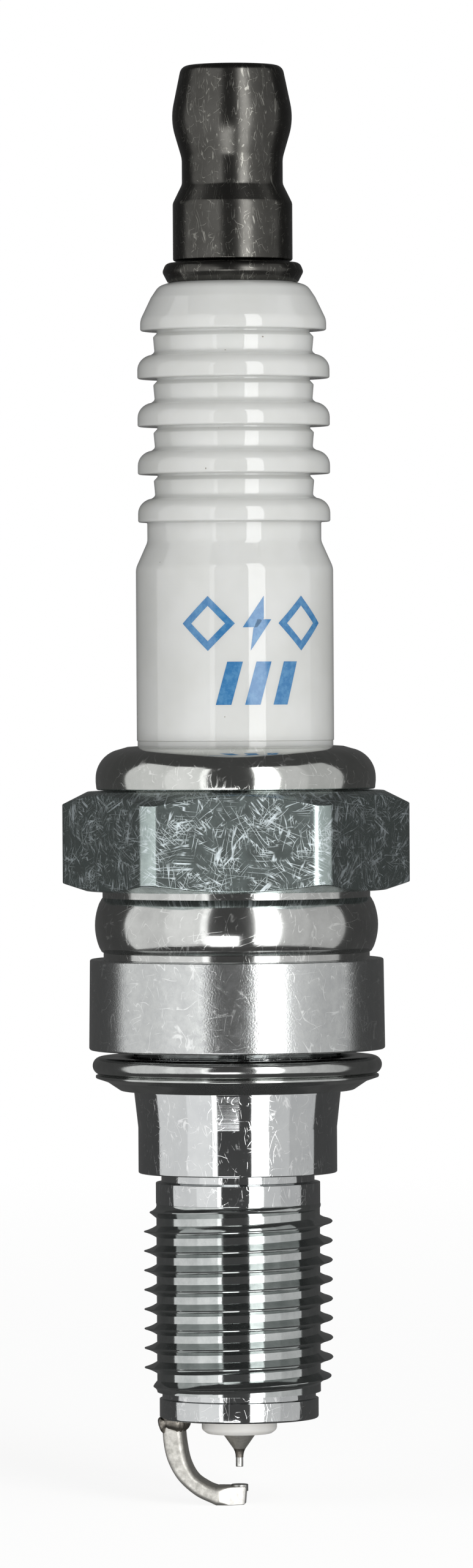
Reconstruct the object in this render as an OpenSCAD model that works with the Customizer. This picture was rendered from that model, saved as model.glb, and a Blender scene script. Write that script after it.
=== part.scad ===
// Motorcycle spark plug: 10 mm long-reach shell, resistor stack, fine-wire tip and captive gasket.
// The origin is the centre of the gasket's lowest face, with +Z up towards the terminal.
// Inside each module, heights are measured from the shell's own gasket face, and raised() lifts them.

/* [Thread and reach] */
// Nominal diameter of the shell's thread
thread_d = 10; // [8:0.5:14]
// Thread pitch
thread_pitch = 1; // [0.75:0.25:1.25]
// Reach, from the shell's gasket face to its end face
reach = 19; // [12.5:0.1:26.5]
// Plain neck between the gasket face and the thread's relief
neck_len = 6.35; // [4:0.05:6.5]
// Wall between the thread's root and the shell's lower bore
thread_wall = 0.9; // [0.8:0.05:1.2]

/* [Shell body] */
// Hexagon across flats
hex_af = 15.9; // [13:0.1:21]
// How far the hexagon's corners are turned down
hex_corner_trim = 0.23; // [0.1:0.01:0.6]
// Height of the hexagon's underside above the gasket face
hex_low = 8.4; // [8:0.1:9]
// Height of the hexagon itself
hex_h = 5.1; // [4:0.1:6]
// Height of the collar above the gasket face
collar_h = 4.67; // [4:0.01:4.7]
// Wall of the collar around the upper bore
collar_wall = 1.55; // [1.2:0.05:2]
// Wall of the crimp at its widest
crimp_wall = 1.14; // [1:0.02:1.4]
// Height of the crimp roll
crimp_h = 2.12; // [2:0.02:2.4]

/* [Gasket] */
// Height of the uncrushed gasket
gasket_h = 1.75; // [1.6:0.05:2]
// Axial play of the captive gasket under the collar
gasket_play = 0.35; // [0.2:0.05:0.5]
// Thickness of the gasket's sheet
gasket_sheet = 0.32; // [0.25:0.01:0.38]
// Radial clearance of the gasket around the neck
gasket_clearance = 0.12; // [0.08:0.02:0.3]

/* [Insulator] */
// Height of the insulator's top above the gasket face
insulator_top = 39.47; // [32:0.01:50]
// Barrel diameter
barrel_d = 10.16; // [8.4:0.01:12.3]
// Rib diameter
rib_d = 9.9; // [8.6:0.1:11]
// Diameter between the ribs
groove_d = 8.2; // [7:0.1:8.4]
// Number of ribs
rib_count = 5; // [2:1:6]
// Distance from rib to rib
rib_pitch = 2.46; // [2.2:0.01:2.9]
// Height of a rib, from its shoulder to its flat underside
rib_h = 1.24; // [1:0.02:1.5]
// Radius of the nose at its tip, as a share of the shell's bore around it
nose_share = 0.655; // [0.6:0.005:0.67]
// Length of the nose inside the shell
nose_len = 7; // [4:0.1:8]
// How far the nose stands out of the shell
nose_out = 0.8; // [0.3:0.05:1.5]

/* [Terminal] */
// Largest diameter of the terminal nut
nut_d = 6.16; // [5.6:0.01:6.6]
// Waist diameter of the terminal nut
waist_d = 5.2; // [4.8:0.01:5.4]
// Height of the terminal nut
nut_h = 10.05; // [9.6:0.05:12]
// Crest diameter of the stud's thread
stud_d = 3.94; // [3.6:0.01:4]
// Pitch of the stud's thread
stud_pitch = 0.7; // [0.5:0.05:0.75]
// Diameter of the stud's flange
flange_d = 7.28; // [6.6:0.01:8]
// Height of the stud's flange
flange_h = 0.99; // [0.8:0.01:1.4]

/* [Electrodes] */
// Spark gap
spark_gap = 0.9; // [0.6:0.05:1.1]
// Diameter of the centre electrode's body
electrode_d = 1.9; // [1.7:0.05:2]
// Diameter of the fine wire
wire_d = 0.38; // [0.3:0.01:0.8]
// Thickness of the ground electrode
ground_t = 0.95; // [0.9:0.05:1.3]
// Width of the ground electrode
ground_w = 2.3; // [2:0.05:2.6]
// Width of the ground electrode's cut end
ground_end_w = 1; // [0.9:0.05:1.8]
// Diameter of the pad under the tip
pad_d = 0.9; // [0.6:0.05:1]

/* [Hidden] */
$fn = 96;
cut = 0.01;        // overshoot of every cutting shape
fit = 0.02;        // clearance of pieces that are sealed or packed in place
big = 60;          // larger than any cross-section

// Shell, from the thread inwards and outwards
seat_h = gasket_h + gasket_play;                  // gasket face above the origin
crest_r = thread_d / 2 - 0.12;
root_r = crest_r - 0.62 * thread_pitch;
low_bore_r = root_r - thread_wall;
nose_bore_r = low_bore_r - 0.4;
neck_r = thread_d / 2 + 0.125;
neck_root_r = neck_r + 0.2;                       // the neck is thicker where it meets the collar
neck_taper = 4;                                   // depth at which it has its own diameter
relief_r = root_r - 0.3;
pilot_r = root_r - 0.16;
land_r = root_r - 0.03;
barrel_r = barrel_d / 2;
talc_w = 1;                                       // width of the packing space around the barrel
up_bore_r = barrel_r + talc_w;
collar_r = up_bore_r + collar_wall;
crimp_r = up_bore_r + crimp_wall;
crimp_round = 1.5;                                // radius of the crimp's outer roll
crimp_low = hex_low + hex_h + 0.16;
crimp_top = hex_low + hex_h + crimp_h;
lip_t = 0.85;                                     // thickness of the lip that closes on the barrel
lip_low = crimp_top - lip_t;
step_low = 1;                                     // where the bore starts to open, inside the collar
step_rise = 0.7;                                  // height gained per millimetre of radius
step_top = step_low + (up_bore_r - low_bore_r) * step_rise;
groove_l = 0.45;                                  // relief before the thread
land_l = 1.1;                                     // plain land between relief and thread
thread_top = -(neck_len + groove_l + land_l);
pilot_l = 1.05;
end_relief_l = 0.3;
thread_low = -(reach - pilot_l - end_relief_l);
thread_phase = 0.12;                              // height of a crest at +X, as a part of the pitch
turn_steps = 36;                                  // flat strips in one turn of a thread

// Packing ledge between the shell and the nose
ledge_z = -(reach - nose_len);
ledge_rise = 0.58;
packing_t = 0.3;
function ledge_at(r) = ledge_z + (r - nose_bore_r) * ledge_rise;

// Insulator
stem_r = low_bore_r - 0.08;
nose_r = nose_bore_r * nose_share;
nose_top_r = nose_bore_r - 0.3;
nose_tip = -(reach + nose_out);
shoulder_r = up_bore_r - 0.06;
shoulder_low = step_top + 0.5;
shoulder_top = 9.4;
rib_r = rib_d / 2;
rib_groove_r = groove_d / 2;
top_round = 2.6;                                  // radius of the rounded top of the first rib
top_rib_r = rib_r - 0.15;
top_rib_h = 2.5;
rib_edge = 0.45;                                  // height of a rib's straight edge, above its underside
last_rib_z = insulator_top - top_rib_h - (rib_count - 1) * rib_pitch;
bell_top = last_rib_z - 0.85;                     // where the neck under the ribs widens to the barrel
bell_low = last_rib_z - 2.65;
bell_neck_r = barrel_r - 0.59;
hex_corner_r = hex_af / 2 / cos(30) - hex_corner_trim;
barrel_foot = crimp_top + 0.3;                    // below this the barrel tapers a little, to enter the shell
seated_r = barrel_r - 0.04;

// Stack inside the insulator
stack_r = 1.55;                                   // upper bore of the insulator
core_bore_r = electrode_d / 2 + 0.03;             // lower bore, around the centre electrode
head_z = 1.5;
head_h = 1.5;
lower_glass_h = 3.5;
resistor_h = 9.5;
upper_glass_h = 4;
knurl_l = 6;                                      // grooved end of the stud's stem
stem_in_glass = 2;
lower_glass_z = head_z + head_h;
resistor_z = lower_glass_z + lower_glass_h;
upper_glass_z = resistor_z + resistor_h;
stud_stem_r = 1.3;
stud_end = upper_glass_z + upper_glass_h - stem_in_glass;

// Terminal
nut_r = nut_d / 2;
waist_r = waist_d / 2;
nut_gap = 0.09;                                   // seam between the nut and the flange
nut_low = insulator_top + flange_h + nut_gap;
skirt_h = 2.9;
stud_r = stud_d / 2;
stud_root_r = stud_r - 0.6 * stud_pitch;
post_core_r = stud_root_r - 0.12;                 // the core stays inside the thread's flat strips
post_l = 7.6;
post_low = insulator_top + flange_h;
nut_bore_r = stud_r + 0.05;
nut_bore_l = post_l + 0.5;

// Centre electrode and tip
electrode_r = electrode_d / 2;
copper_r = 0.55;
copper_end = nose_tip + 1.2;
cone_r = electrode_r - 0.07;
cone_h = 0.8;
cone_end_r = wire_d / 2 + 0.125;
weld_h = 0.45;
wire_h = 0.48;
wire_r = wire_d / 2;
cone_z = nose_tip - cone_h;
weld_z = cone_z - weld_h;
tip_z = weld_z - wire_h;

// Ground electrode: leg, bend and arm, drawn in the XZ plane and then turned
pad_proud = 0.1;
pad_sunk = 0.25;
arm_top = tip_z - spark_gap - pad_proud;
bend_r = 2.2;                                     // inner radius of the bend
ground_turn = -6;                                 // turn of the strip around the axis, out of the XZ plane
leg_in = nose_bore_r - 0.1;                       // inner face of the leg, as a distance from the axis
bend_x = -(leg_in - bend_r);
bend_z = arm_top + bend_r;
arm_end = 0.36;
taper_l = 1.5;
edge_r = 0.28;
ground_end_t = 0.1;                               // the tapered cut starts this far outside the strip

// Points on an arc, counter-clockwise from angle a to angle b
function arc(x, y, r, a, b, n = 8) = [for (i = [0 : n]) [x + r * cos(a + (b - a) * i / n), y + r * sin(a + (b - a) * i / n)]];

// Lifts a shape from the shell's gasket face to the origin's own height
module raised() translate([0, 0, seat_h]) children();

// A ring with a rectangular section
module ring_block(r_in, r_out, low, high) {
    translate([0, 0, low]) difference() {
        cylinder(r = r_out, h = high - low);
        translate([0, 0, -cut]) cylinder(r = r_in, h = high - low + 2 * cut);
    }
}

// A right-hand thread as a helical sleeve around a core, cut off flat at low and high.
// Each turn is one pitch of the profile, and it shares its edge points with the next turn.
// The crest sinks to the root over the first and last fade turns.
module helical_thread(crest, root, inner, pitch, low, high, phase, steps, fade) {
    half_crest = pitch * 0.08;
    half_base = half_crest + (crest - root) * 0.577;
    turns = ceil((high - low) / pitch) + 4;
    count = turns * steps;
    start = pitch * (floor(low / pitch) + phase - 2);
    function depth_at(z) = (crest - root) * max(0.02, min(1, (z - low) / (fade * pitch), (high - z) / (fade * pitch)));
    // One column of the profile: root, crest, crest, root, then the inner wall
    function column(i) = let (a = 360 * i / steps, z = start + pitch * i / steps, r = root + depth_at(z))
        [for (p = [[root, -half_base], [r, -half_crest], [r, half_crest], [root, half_base], [inner, -half_base]])
            [p[0] * cos(a), p[0] * sin(a), z + p[1]]];
    columns = count + steps + 1;
    points = [for (i = [0 : columns - 1]) each column(i)];
    function at(i, j) = j == 4 ? 5 * (i + steps) : 5 * i + j;
    function wall(i) = 5 * i + 4;
    outside = [for (i = [0 : count - 1], j = [0 : 3]) each [
        [at(i, j), at(i + 1, j + 1), at(i + 1, j)],
        [at(i, j), at(i, j + 1), at(i + 1, j + 1)]]];
    inside = [for (i = [0 : count - 1]) each [
        [wall(i), wall(i + 1), wall(i + steps + 1)],
        [wall(i), wall(i + steps + 1), wall(i + steps)]]];
    bottom = [for (i = [0 : steps - 1]) each [
        [at(i, 0), at(i + 1, 0), wall(i + 1)],
        [at(i, 0), wall(i + 1), wall(i)]]];
    top = [for (i = [count : count + steps - 1]) each [
        [at(i, 0), wall(i + 1), at(i + 1, 0)],
        [at(i, 0), wall(i), wall(i + 1)]]];
    first_step = [[wall(0), wall(steps), at(0, 4), at(0, 3), at(0, 2), at(0, 1), at(0, 0)]];
    last_step = [[wall(count), at(count, 0), at(count, 1), at(count, 2), at(count, 3), at(count, 4), wall(count + steps)]];
    intersection() {
        polyhedron(points = points, faces = concat(outside, inside, bottom, top, first_step, last_step), convexity = 10);
        translate([-big / 2, -big / 2, low]) cube([big, big, high - low]);
    }
}

// Terminal nut with a waist that a cap's spring clip snaps into
module terminal_nut() color("#33332f") raised() translate([0, 0, nut_low]) difference() {
    rotate_extrude() polygon(concat(
        [[0, 0], [nut_r - 0.12, 0], [nut_r, 0.12], [nut_r, skirt_h - 0.15]],
        [[nut_r - 0.1, skirt_h + 0.25], [nut_r - 0.27, skirt_h + 0.51], [waist_r + 0.07, skirt_h + 0.76]],
        [[waist_r, skirt_h + 1], [waist_r, nut_h - 5], [waist_r + 0.1, nut_h - 4.37]],
        [[waist_r + 0.25, nut_h - 3.86], [nut_r - 0.07, nut_h - 3.36], [nut_r, nut_h - 3.05]],
        [[nut_r, nut_h - 2.4], [nut_r - 0.04, nut_h - 2.1], [nut_r - 0.13, nut_h - 1.6]],
        [[nut_r - 0.35, nut_h - 0.6]],
        arc(nut_r - 0.95, nut_h - 0.6, 0.6, 15, 90, 5),
        [[0, nut_h]]
    ));
    translate([0, 0, -cut]) cylinder(r = nut_bore_r, h = nut_bore_l + cut);
    translate([0, 0, nut_bore_l - cut]) cylinder(r1 = nut_bore_r, r2 = 0, h = 1);
}

// Terminal stud: threaded post, flange and a stem with a grooved end in the glass seal
module terminal_stud() color("#3a3834") raised() {
    stem_top = insulator_top;
    rotate_extrude() polygon(concat(
        [[0, stud_end], [stud_stem_r - 0.25, stud_end]],
        [for (i = [0 : 7]) each [
            [stud_stem_r - 0.15, stud_end + 0.2 + i * knurl_l / 8],
            [stud_stem_r, stud_end + 0.4 + i * knurl_l / 8],
            [stud_stem_r, stud_end + 0.6 + i * knurl_l / 8]]],
        [[stud_stem_r, stem_top], [flange_d / 2 - 0.27, stem_top], [flange_d / 2, stem_top + 0.52]],
        arc(flange_d / 2 - 0.4, stem_top + flange_h - 0.4, 0.4, 0, 90, 5),
        [[post_core_r, post_low], [post_core_r, post_low + post_l - 0.2]],
        [[post_core_r - 0.2, post_low + post_l], [0, post_low + post_l]]
    ));
    helical_thread(stud_r, stud_root_r, post_core_r - 0.15, stud_pitch, post_low + 0.5, post_low + post_l - 0.35, 0.3, 20, 0.5);
}

// Insulator outline: ribs and barrel outside, packing shoulders and nose inside the shell
function rib_outline(z) = concat(
    [[rib_groove_r, z + rib_pitch - 0.3], [rib_groove_r, z + rib_h]],
    [for (a = [75 : -15 : 0]) [rib_groove_r + (rib_r - rib_groove_r) * cos(a), z + rib_edge + (rib_h - rib_edge) * sin(a)]],
    [[rib_r, z + 0.06], [rib_r - 0.06, z], [rib_groove_r + 0.1, z], [rib_groove_r - 0.05, z - 0.15]]
);

module insulator() color("#f4f2ec") raised() difference() {
    rotate_extrude() polygon(concat(
        [[0, insulator_top]],
        arc(top_rib_r - top_round, insulator_top - 2.32, top_round, 63, 0, 8),
        [[top_rib_r - 0.06, insulator_top - top_rib_h], [rib_groove_r + 0.1, insulator_top - top_rib_h]],
        [[rib_groove_r - 0.05, insulator_top - top_rib_h - 0.15]],
        [for (i = [1 : rib_count - 1]) each rib_outline(insulator_top - top_rib_h - i * rib_pitch)],
        [[bell_neck_r, last_rib_z - 0.25], [bell_neck_r, bell_top]],
        [[bell_neck_r + 0.04, bell_top - 0.15], [barrel_r - 0.1, bell_low + 0.55], [barrel_r - 0.02, bell_low + 0.25]],
        [[barrel_r, bell_low]],
        [[barrel_r, barrel_foot], [seated_r, shoulder_top]],
        [[shoulder_r - 0.2, shoulder_top], [shoulder_r, shoulder_top - 0.2]],
        [[shoulder_r, shoulder_low], [stem_r, shoulder_low - (shoulder_r - stem_r) * step_rise]],
        [[stem_r, ledge_at(stem_r) + packing_t], [nose_top_r, ledge_at(nose_top_r) + packing_t]],
        [[nose_top_r, ledge_z - 0.9], [nose_r, -reach + 0.4], [nose_r, nose_tip + 0.2]],
        arc(nose_r - 0.2, nose_tip + 0.2, 0.2, 0, -90, 4),
        [[0, nose_tip]]
    ));
    translate([0, 0, head_z]) cylinder(r = stack_r, h = insulator_top - head_z + cut);
    translate([0, 0, nose_tip - cut]) cylinder(r = core_bore_r, h = head_z - nose_tip + 2 * cut);
}

// Conductive glass around the end of the stud's stem
module upper_glass_seal() color("#5a5148") raised() difference() {
    translate([0, 0, upper_glass_z]) cylinder(r = stack_r - fit, h = upper_glass_h);
    translate([0, 0, stud_end]) cylinder(r = stud_stem_r + fit, h = stem_in_glass + cut);
}

module resistor() color("#6e6258") raised()
    translate([0, 0, resistor_z]) cylinder(r = stack_r - fit, h = resistor_h);

// Conductive glass on top of the centre electrode's head
module lower_glass_seal() color("#5a5148") raised()
    translate([0, 0, lower_glass_z]) cylinder(r = stack_r - fit, h = lower_glass_h);

// Nickel body of the centre electrode, with its head at the top and its cone at the bottom
module center_electrode() color("#a9a79f") raised() difference() {
    rotate_extrude() polygon([
        [0, cone_z], [cone_end_r, cone_z], [cone_r, nose_tip], [electrode_r, nose_tip + 0.1],
        [electrode_r, head_z], [stack_r - 0.1, head_z], [stack_r - 0.1, head_z + head_h - 0.3],
        [stack_r - 0.4, head_z + head_h], [0, head_z + head_h]
    ]);
    translate([0, 0, copper_end]) cylinder(r = copper_r, h = lower_glass_z - copper_end + cut);
}

module electrode_core() color("#b87333") raised()
    translate([0, 0, copper_end]) cylinder(r = copper_r - fit / 2, h = lower_glass_z - copper_end);

// Weld bead between the nickel cone and the fine wire
module tip_weld() color("#8f8d86") raised() rotate_extrude() polygon([
    [0, cone_z], [cone_end_r, cone_z], [wire_r + 0.09, cone_z - 0.12], [wire_r + 0.045, cone_z - 0.26],
    [wire_r + 0.02, weld_z], [0, weld_z]
]);

module fine_wire_tip() color("#cfd0cc") raised()
    translate([0, 0, tip_z]) cylinder(r = wire_r, h = wire_h, $fn = 48);

// Turned outside of the shell, from the crimp down to the end face, without the hexagon and the thread
module shell_outline() rotate_extrude() polygon(concat(
    [[0, crimp_top], [barrel_r + 0.15, crimp_top], [crimp_r - crimp_round, crimp_top - 0.13]],
    arc(crimp_r - crimp_round, crimp_low + 0.33, crimp_round, 80, 0, 8),
    [[crimp_r - 0.06, crimp_low + 0.03], [crimp_r - 0.16, crimp_low], [up_bore_r + 0.42, crimp_low]],
    [[up_bore_r + 0.42, crimp_low - 0.3], [up_bore_r + 0.82, crimp_low - 0.3]],
    [[up_bore_r + 0.82, hex_low - 0.55], [up_bore_r + 0.95, hex_low - 0.65]],
    [for (i = [0 : 8]) [up_bore_r + 0.95 + 0.22 * sin(i * 22.5), hex_low - 0.65 - (hex_low - collar_h - 1.1) * i / 8]],
    [[up_bore_r + 0.8, collar_h + 0.2], [up_bore_r + 0.8, collar_h], [collar_r - 0.12, collar_h]],
    [[collar_r - 0.06, collar_h - 0.06], [collar_r, 0.12], [collar_r - 0.12, 0]],
    [[neck_root_r, 0], [neck_root_r, -2.2]],
    [[neck_r, -neck_taper], [neck_r, -neck_len + 0.08], [neck_r - 0.08, -neck_len]],
    [[relief_r, -neck_len], [relief_r, -neck_len - groove_l + 0.05], [land_r, -neck_len - groove_l]],
    [[land_r, thread_top], [root_r - 0.25, thread_top], [root_r - 0.25, thread_low]],
    [[relief_r, thread_low], [relief_r, -reach + pilot_l], [pilot_r, -reach + pilot_l]],
    [[pilot_r, -reach + 0.1], [pilot_r - 0.1, -reach], [0, -reach]]
));

module shell_hex() intersection() {
    translate([0, 0, hex_low]) cylinder(r = hex_af / 2 / cos(30), h = hex_h, $fn = 6);
    rotate_extrude() polygon([
        [0, hex_low], [hex_corner_r - 0.6, hex_low], [hex_corner_r, hex_low + 0.45],
        [hex_corner_r, hex_low + hex_h - 0.8], [hex_corner_r - 1.4, hex_low + hex_h], [0, hex_low + hex_h]
    ]);
}

// Stepped bore of the shell, from the crimp's lip to the end face
module shell_bore() rotate_extrude() polygon([
    [0, crimp_top + 1], [barrel_r + 0.05, crimp_top + 1], [barrel_r + 0.05, lip_low], [up_bore_r, lip_low],
    [up_bore_r, step_top], [low_bore_r, step_low], [low_bore_r, ledge_at(low_bore_r)],
    [nose_bore_r, ledge_z], [nose_bore_r, -reach - 1], [0, -reach - 1]
]);

module metal_shell() color("#c3c6c4") raised() {
    difference() {
        union() {
            shell_outline();
            shell_hex();
        }
        shell_bore();
    }
    helical_thread(crest_r, root_r, root_r - 0.5, thread_pitch, thread_low, thread_top, thread_phase, turn_steps, 0.8);
}

// Thin washer that seals the insulator on the shell's inner ledge
module lower_packing() color("#b0b3b1") raised() rotate_extrude() polygon([
    [nose_bore_r + fit, ledge_at(nose_bore_r + fit)], [low_bore_r - fit, ledge_at(low_bore_r - fit)],
    [low_bore_r - fit, ledge_at(low_bore_r - fit) + packing_t],
    [nose_bore_r + fit, ledge_at(nose_bore_r + fit) + packing_t]
]);

// Wire rings above and below the talc
ring_r = talc_w / 2 - fit;
ring_path = barrel_r + talc_w / 2;
lower_ring_z = shoulder_top + ring_r;
upper_ring_z = lip_low - ring_r;

module wire_ring(z, shade) color(shade) raised()
    rotate_extrude() translate([ring_path, z]) circle(r = ring_r, $fn = 48);

module lower_ring() wire_ring(lower_ring_z, "#a8aba9");
module upper_ring() wire_ring(upper_ring_z, "#a8aba9");

module talc_packing() color("#dcd9cf") raised() difference() {
    ring_block(barrel_r + fit, up_bore_r - fit, lower_ring_z, upper_ring_z);
    for (z = [lower_ring_z, upper_ring_z])
        rotate_extrude() translate([ring_path, z]) circle(r = ring_r + fit / 2, $fn = 48);
}

// Folded sheet gasket: a flattened tube on top of a dished sheet, with a flat lip at the bottom
gasket_top = -gasket_play;
gasket_low = -gasket_play - gasket_h;
gasket_r = collar_r - 0.17;
gasket_bore_r = neck_root_r + gasket_clearance;
fold_h = 0.92;

module fold_section(skin) {
    r = fold_h / 2 - skin;
    for (x = [gasket_bore_r + 0.3 + fold_h / 2, gasket_r - fold_h / 2])
        translate([x, gasket_top - fold_h / 2]) circle(r = r, $fn = 48);
    translate([gasket_bore_r + 0.3 + fold_h / 2, gasket_top - fold_h / 2 - r])
        square([max(0.01, gasket_r - gasket_bore_r - 0.3 - fold_h), 2 * r]);
}

module gasket() color("#b5b8b6") raised() rotate_extrude() {
    difference() {
        fold_section(0);
        fold_section(gasket_sheet);
    }
    polygon([
        [gasket_bore_r, gasket_low], [gasket_bore_r + 0.55, gasket_low], [gasket_r - 0.75, gasket_low + 0.46],
        [gasket_r - 0.16, gasket_low + 0.68], [gasket_r - 0.16, gasket_top - fold_h + 0.02],
        [gasket_r - 0.8, gasket_top - fold_h + 0.02], [gasket_bore_r, gasket_low + 0.36]
    ]);
}

// Section of the ground strip, with rounded edges; x runs through the thickness and y across the width.
// A grow above zero gives the section of the hole around the strip.
module strip_section(grow = 0) {
    half_w = ground_w / 2 + grow;
    r = edge_r + grow;
    for (x = [edge_r, ground_t - edge_r], y = [r - half_w, half_w - r])
        translate([x, y]) circle(r = r, $fn = 32);
    translate([edge_r, -half_w]) square([ground_t - 2 * edge_r, 2 * half_w]);
    translate([-grow, r - half_w]) square([ground_t + 2 * grow, 2 * (half_w - r)]);
}

// Outline of the strip seen along Z, narrowing towards its cut end
module strip_plan() polygon([
    [-leg_in - 3, -ground_w], [arm_end - taper_l, -ground_w], [arm_end - taper_l, -ground_w / 2 - ground_end_t],
    [arm_end, -ground_end_w / 2], [arm_end, ground_end_w / 2],
    [arm_end - taper_l, ground_w / 2 + ground_end_t], [arm_end - taper_l, ground_w], [-leg_in - 3, ground_w]
]);

module ground_electrode() color("#8d8b84") raised() rotate(ground_turn) difference() {
    intersection() {
        union() {
            translate([-leg_in, 0, bend_z]) mirror([1, 0, 0]) linear_extrude(-reach - bend_z) strip_section();
            translate([bend_x, 0, bend_z]) rotate([-90, 0, 0]) rotate([0, 0, 90])
                rotate_extrude(angle = 90) translate([bend_r, 0]) strip_section();
            translate([bend_x, 0, arm_top]) rotate([0, 90, 0]) linear_extrude(arm_end - bend_x) strip_section();
        }
        translate([0, 0, arm_top - 3]) linear_extrude(-reach - arm_top + 3) strip_plan();
    }
    translate([0, 0, arm_top - pad_sunk]) cylinder(r = pad_d / 2, h = 1, $fn = 64);
}

// Weld flash around the root of the ground electrode, squeezed out over the shell's end edge.
// Its outline is a rounded rectangle with a slight three-lobed wobble.
weld_drop = 0.42;
weld_rise = 0.3;
function lobe(c, half, a) = half * sign(c) * pow(abs(c), 0.6) * (1 + 0.05 * cos(3 * a + 40));

module ground_weld() color("#77756e") raised() rotate(ground_turn) difference() {
    translate([-leg_in - ground_t / 2, 0, -reach - weld_drop]) linear_extrude(weld_drop + weld_rise)
        polygon([for (a = [5 : 15 : 350]) [lobe(cos(a), ground_t / 2 + 0.27, a), lobe(sin(a), ground_w / 2 + 0.22, a)]]);
    translate([0, 0, -reach]) cylinder(r = pilot_r + fit, h = 5);
    translate([-leg_in, 0, bend_z]) mirror([1, 0, 0]) linear_extrude(5) strip_section(fit);
}

module ground_pad() color("#d2d3cf") raised()
    translate([0, 0, arm_top - pad_sunk]) cylinder(r = pad_d / 2 - fit / 2, h = pad_sunk + pad_proud, $fn = 64);

terminal_nut();
terminal_stud();
insulator();
upper_glass_seal();
resistor();
lower_glass_seal();
center_electrode();
electrode_core();
tip_weld();
fine_wire_tip();
metal_shell();
lower_packing();
lower_ring();
talc_packing();
upper_ring();
gasket();
ground_electrode();
ground_weld();
ground_pad();
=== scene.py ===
import math

import bmesh
import bpy
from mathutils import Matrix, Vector


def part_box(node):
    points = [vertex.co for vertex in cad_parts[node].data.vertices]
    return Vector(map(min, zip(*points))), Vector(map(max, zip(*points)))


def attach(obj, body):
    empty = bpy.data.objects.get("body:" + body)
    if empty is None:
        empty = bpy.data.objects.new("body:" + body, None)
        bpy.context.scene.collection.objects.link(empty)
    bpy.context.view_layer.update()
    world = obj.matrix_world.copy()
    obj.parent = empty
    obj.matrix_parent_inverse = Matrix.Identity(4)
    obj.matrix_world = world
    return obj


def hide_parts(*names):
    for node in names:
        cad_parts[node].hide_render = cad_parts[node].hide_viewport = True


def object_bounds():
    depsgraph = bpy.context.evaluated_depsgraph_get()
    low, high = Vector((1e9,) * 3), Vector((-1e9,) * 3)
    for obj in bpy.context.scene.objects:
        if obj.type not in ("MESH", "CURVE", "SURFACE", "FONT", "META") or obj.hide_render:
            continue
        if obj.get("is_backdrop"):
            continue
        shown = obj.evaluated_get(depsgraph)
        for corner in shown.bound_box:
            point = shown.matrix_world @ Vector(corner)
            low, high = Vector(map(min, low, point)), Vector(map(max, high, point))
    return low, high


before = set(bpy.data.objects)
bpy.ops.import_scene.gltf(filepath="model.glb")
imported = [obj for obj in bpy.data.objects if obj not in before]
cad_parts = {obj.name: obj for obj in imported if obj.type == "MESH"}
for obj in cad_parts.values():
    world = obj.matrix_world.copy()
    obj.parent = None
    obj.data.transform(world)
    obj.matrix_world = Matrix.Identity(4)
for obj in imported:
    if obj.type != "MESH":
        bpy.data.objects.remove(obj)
cadLow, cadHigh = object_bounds()
mm = 0.001

# Heights are in millimetres above the shell's gasket face, as on a turner's drawing
reach = 19.0
shellLow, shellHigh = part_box("metal_shell")
seat = shellLow.z + reach * mm
print("frame loaded, gasket face at", round(seat / mm, 3), "mm")

# The camera stands in front, a little above the middle, and leans with the plug
cameraSpec = {
    "distance": 450.0,
    "height": 20.06,       # above the gasket face
    "aimHeight": 13.65,
    "side": 0.04,
    "lens": 200.7,
    "roll": -0.325,        # degrees
}


def makeCamera(spec):
    data = bpy.data.cameras.new("camera")
    data.lens = spec["lens"]
    data.clip_start = 0.01
    data.clip_end = 20.0
    camera = bpy.data.objects.new("camera", data)
    bpy.context.scene.collection.objects.link(camera)
    place = Vector((spec["side"] * mm, -spec["distance"] * mm, seat + spec["height"] * mm))
    aim = Vector((spec["side"] * mm, 0.0, seat + spec["aimHeight"] * mm))
    camera.location = place
    camera.rotation_mode = "QUATERNION"
    look = (aim - place).to_track_quat("-Z", "Y")
    camera.rotation_quaternion = look
    camera.rotation_mode = "XYZ"
    camera.rotation_euler.rotate_axis("Z", math.radians(spec["roll"]))
    bpy.context.scene.camera = camera
    return camera


makeCamera(cameraSpec)
print("camera placed")


# Colours and nodes

def hexColour(code):
    # sRGB hex to linear light
    parts = [int(code[i:i + 2], 16) / 255 for i in (1, 3, 5)]
    linear = [c / 12.92 if c <= 0.04045 else ((c + 0.055) / 1.055) ** 2.4 for c in parts]
    return (*linear, 1.0)


def addNode(tree, kind, inputs=None, **settings):
    # inputs holds values, or sockets of other nodes to link from
    node = tree.nodes.new(kind)
    for name, value in settings.items():
        setattr(node, name, value)
    for name, value in (inputs or {}).items():
        socket = node.inputs[name]
        if isinstance(value, bpy.types.NodeSocket):
            tree.links.new(value, socket)
        else:
            socket.default_value = value
    return node


def newMaterial(name):
    material = bpy.data.materials.new(name)
    material.use_nodes = True
    tree = material.node_tree
    tree.nodes.clear()
    shader = addNode(tree, "ShaderNodeBsdfPrincipled")
    output = addNode(tree, "ShaderNodeOutputMaterial")
    tree.links.new(shader.outputs["BSDF"], output.inputs["Surface"])
    place = addNode(tree, "ShaderNodeTexCoord").outputs["Object"]
    inMm = addNode(tree, "ShaderNodeVectorMath", {0: place, "Scale": 1 / mm}, operation="SCALE")
    return material, tree, shader, inMm.outputs["Vector"]


def noiseIn(tree, where, size, stretch=(1, 1, 1), turn=(0, 0, 0), detail=3.0, rough=0.55):
    # Noise whose spots are size millimetres across, drawn out by stretch
    scale = tuple(size * s for s in stretch)
    mapped = addNode(tree, "ShaderNodeMapping", {"Vector": where, "Scale": scale, "Rotation": turn},
                     vector_type="TEXTURE")
    noise = addNode(tree, "ShaderNodeTexNoise", {
        "Vector": mapped.outputs["Vector"], "Scale": 1.0, "Detail": detail, "Roughness": rough})
    return noise.outputs["Fac"]


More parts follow.
